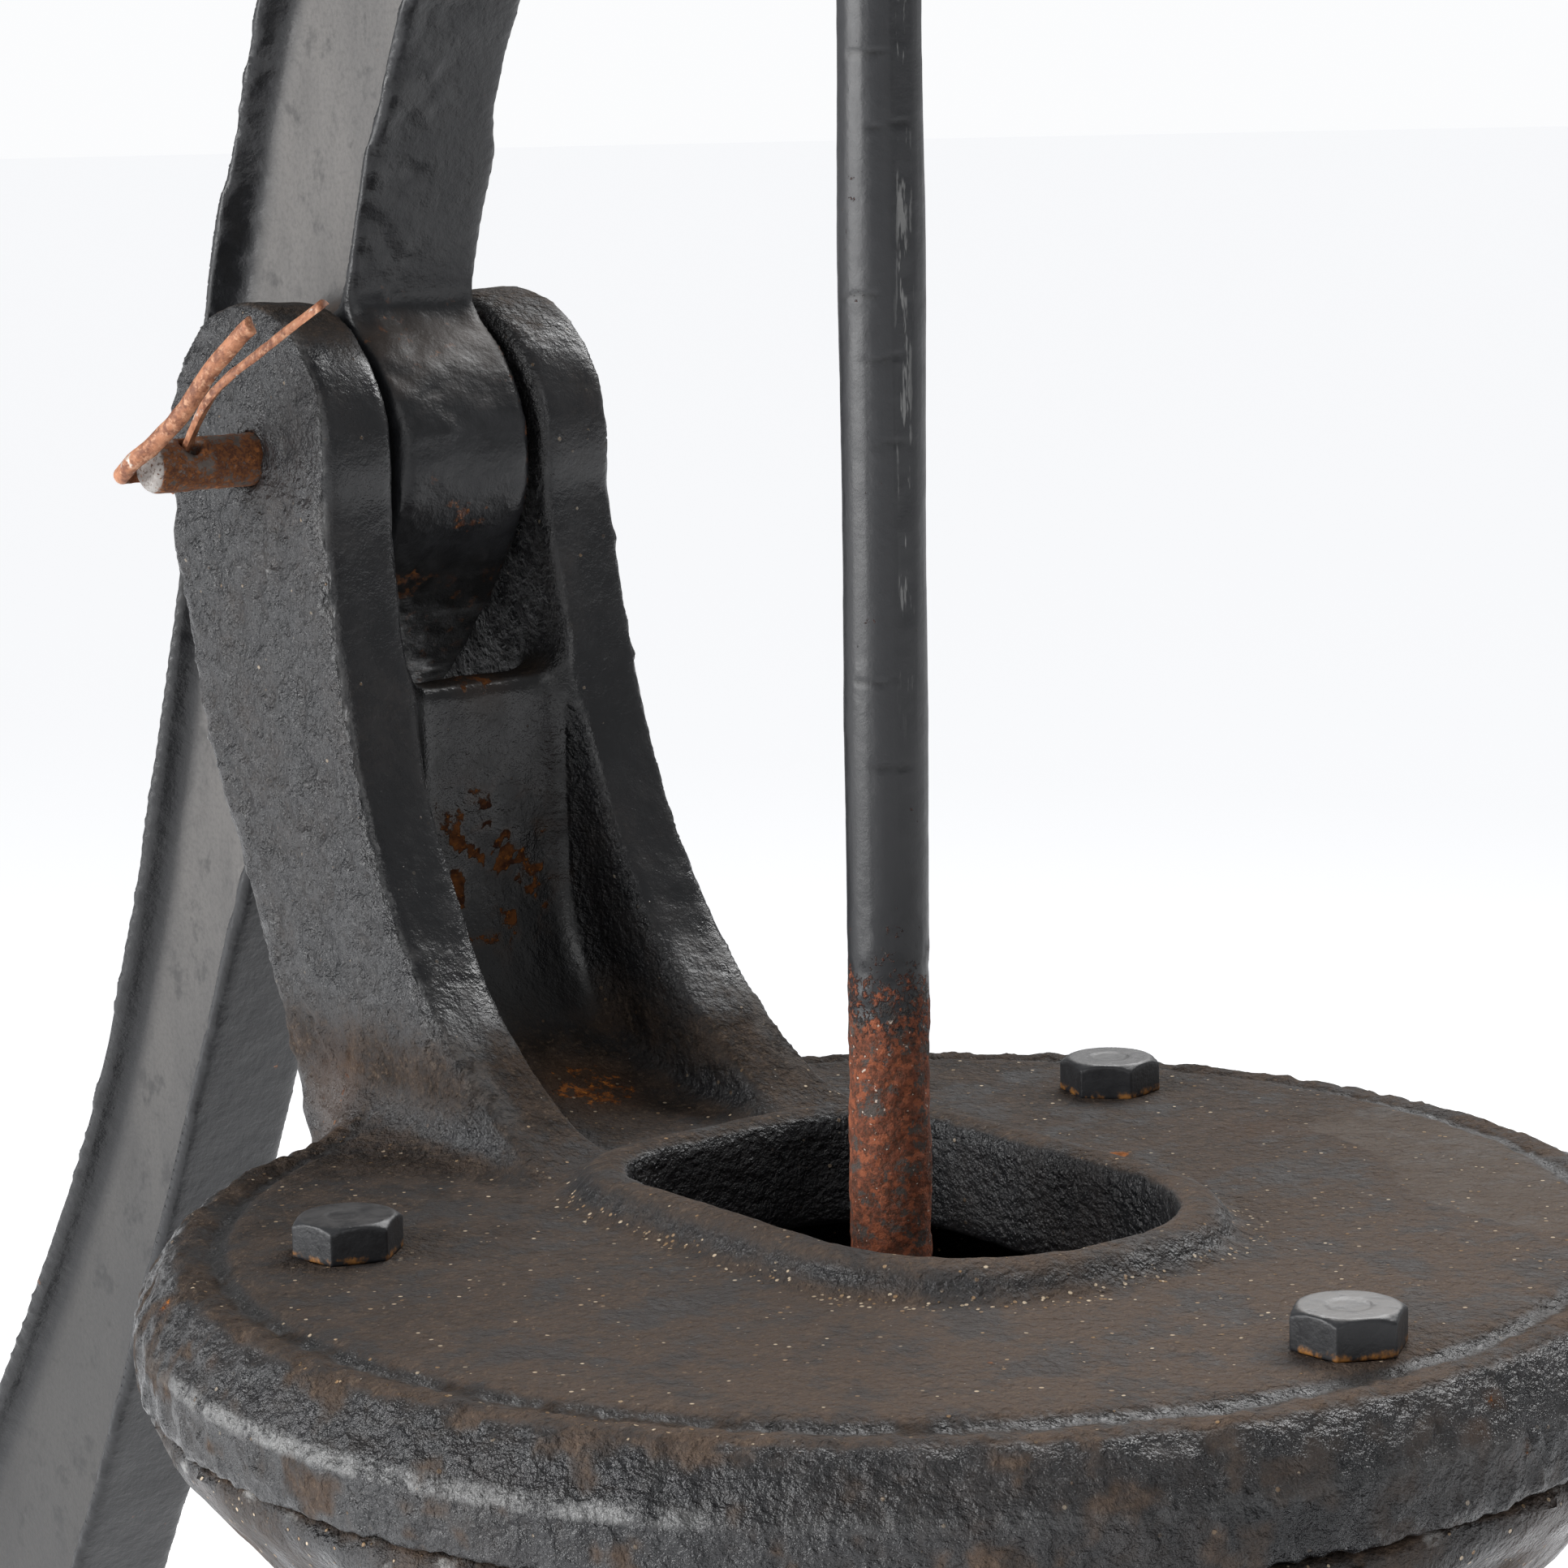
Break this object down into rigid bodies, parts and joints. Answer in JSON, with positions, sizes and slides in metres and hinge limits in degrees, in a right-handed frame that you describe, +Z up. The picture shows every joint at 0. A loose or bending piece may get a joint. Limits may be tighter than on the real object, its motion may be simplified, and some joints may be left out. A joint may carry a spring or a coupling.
{
  "type": "hand pitcher pump",
  "caption": "Closed-top hand pitcher pump: black cast-iron barrel and bowl, round cap with cast bearer, curved lever, piston rod, leather-cupped plunger and flap valve.",
  "frame": {"origin": "centre of the suction inlet, at the underside of the foot", "axes": "+Z up along the barrel, +X towards the spout, Y along the fulcrum pin, the lever hangs on the -X side"},
  "size_m": [0.4811, 0.2032, 0.5703],
  "materials": {
    "casting": "black paint over rough cast iron, semi-gloss, chipped with rust spots",
    "cap_casting": "black paint under brown dust, satin, glossy on the ears",
    "lever_casting": "dusty satin black paint with worn bright edges",
    "cap_bolt_steel": "smooth semi-gloss black paint, rust at the foot",
    "bolt_steel": "black paint, rust at the threads",
    "pin_steel": "brown surface rust, bare at the chamfers",
    "cotter_wire": "orange-brown rust with bright rubbed spots",
    "rod_paint": "satin black paint, granular red rust at the foot",
    "inner_iron": "bare cast iron, wet-stained and lightly rusted",
    "plain_steel": "dull steel with brown stains",
    "brass": "tarnished brass",
    "leather": "oiled brown leather"
  },
  "bodies": {
    "root": {"base_foot": "casting", "valve_gasket": "leather", "flange_bolts": "bolt_steel", "flange_nuts": "bolt_steel", "pump_body": "casting", "cap_bearer": "cap_casting", "cap_bolts": "cap_bolt_steel", "fulcrum_pin": "pin_steel", "fulcrum_cotter": "cotter_wire"},
    "flap": {"flap_leather": "leather", "flap_weight": "inner_iron", "flap_bolt": "plain_steel", "flap_nut": "plain_steel"},
    "handle": {"handle_lever": "lever_casting", "rod_pin": "pin_steel", "rod_pin_cotter": "cotter_wire"},
    "rod": {"pump_rod": "rod_paint", "rod_eye": "inner_iron", "rod_locknut": "inner_iron"},
    "plunger": {"plunger_cage": "inner_iron", "cup_leather": "leather", "plunger_follower": "inner_iron", "plunger_pin": "plain_steel", "plunger_rivets": "plain_steel"},
    "poppet": {"poppet_valve": "brass", "poppet_facing": "leather"}
  },
  "joints": [
    {"name": "handle_hinge", "type": "hinge", "parent": "root", "child": "handle", "pos_m": [-0.1193, 0, 0.449], "axis": [0, 1, 0], "range_deg": [0, 45]},
    {"name": "rod_hinge", "type": "hinge", "parent": "handle", "child": "rod", "pos_m": [-0.0025, 0, 0.543], "axis": [0, 1, 0], "range_deg": [-38.9, 0]},
    {"name": "plunger_slide", "type": "slide", "parent": "root", "child": "plunger", "axis": [0, 0, -1], "range_m": [0, 0.109]},
    {"name": "poppet_slide", "type": "slide", "parent": "plunger", "child": "poppet", "axis": [0, 0, 1], "range_m": [0, 0.006]},
    {"name": "flap_hinge", "type": "hinge", "parent": "root", "child": "flap", "pos_m": [-0.031, 0, 0.0583], "axis": [0, -1, 0], "range_deg": [0, 25]}
  ],
  "couplings": [
    {"joint": "rod_hinge", "follows": "handle_hinge", "ratio": -0.8596},
    {"joint": "plunger_slide", "follows": "handle_hinge", "m_per_rad": 0.1383}
  ]
}
